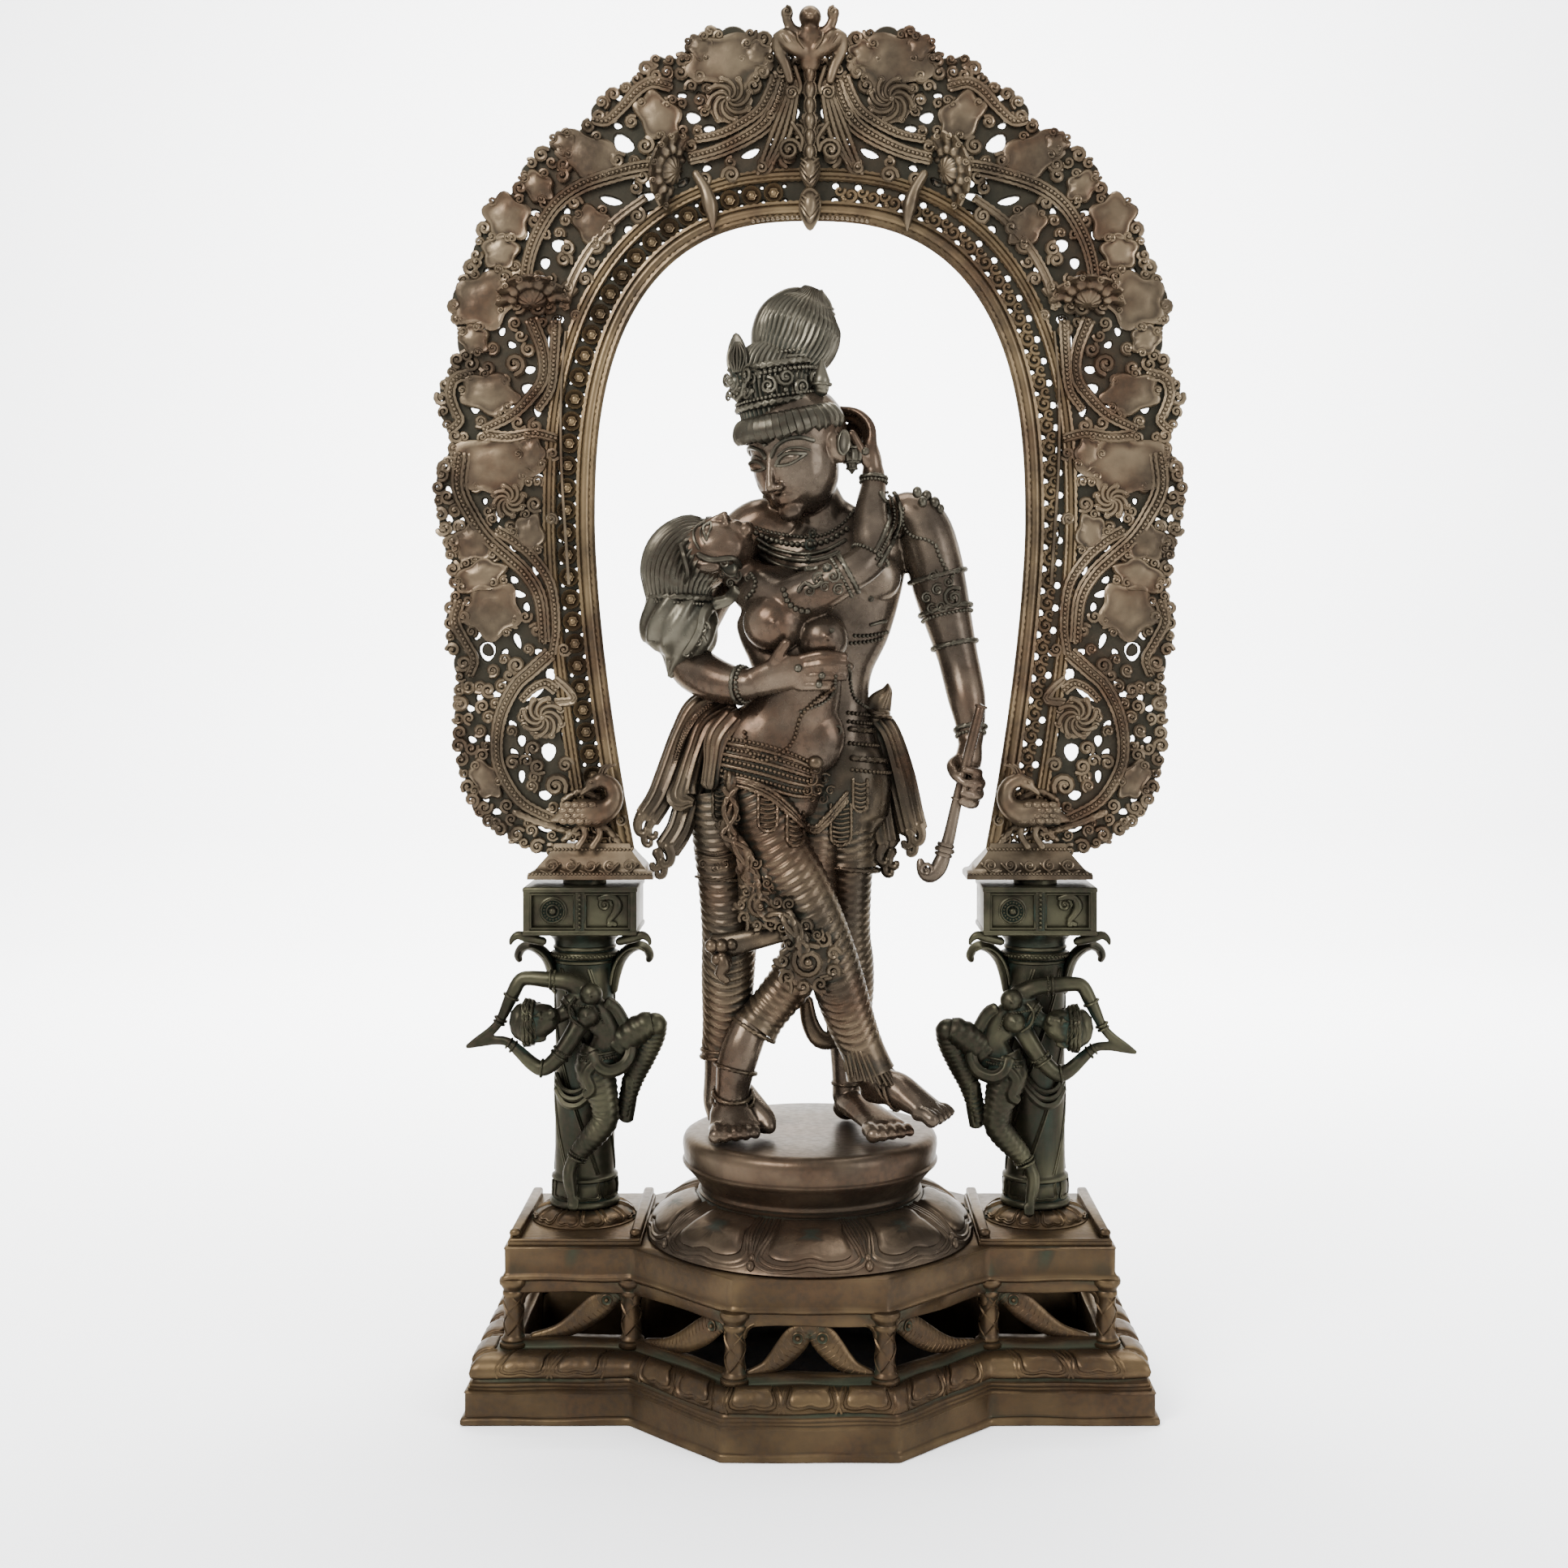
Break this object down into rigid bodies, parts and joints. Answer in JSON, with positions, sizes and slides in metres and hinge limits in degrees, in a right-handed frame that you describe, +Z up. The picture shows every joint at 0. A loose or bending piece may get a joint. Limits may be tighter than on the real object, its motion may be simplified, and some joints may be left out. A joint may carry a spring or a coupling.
{
  "type": "cast bronze deity group under an arch",
  "caption": "Bronze temple group: a flute player and his consort on a lotus, under a pierced arch on two pillars and a stepped base.",
  "frame": {"origin": "the middle of the base's underside, on the surface that the group stands on", "axes": "+Z up; the figures face -Y; +X is to the right of a viewer in front"},
  "size_m": [0.5169, 0.298, 0.9562],
  "materials": {
    "base_bronze": "aged bronze, brown with red and green patches",
    "figure_bronze": "dark brown bronze, polished on the high places",
    "arch_bronze": "brown bronze with worn golden edges",
    "green_bronze": "dark bronze with green verdigris"
  },
  "bodies": {
    "root": {"base": "base_bronze", "lotus_pedestal": "figure_bronze", "couple": "figure_bronze", "flute": "figure_bronze", "pillar_left": "green_bronze", "pillar_right": "green_bronze", "arch": "arch_bronze"}
  },
  "joints": []
}
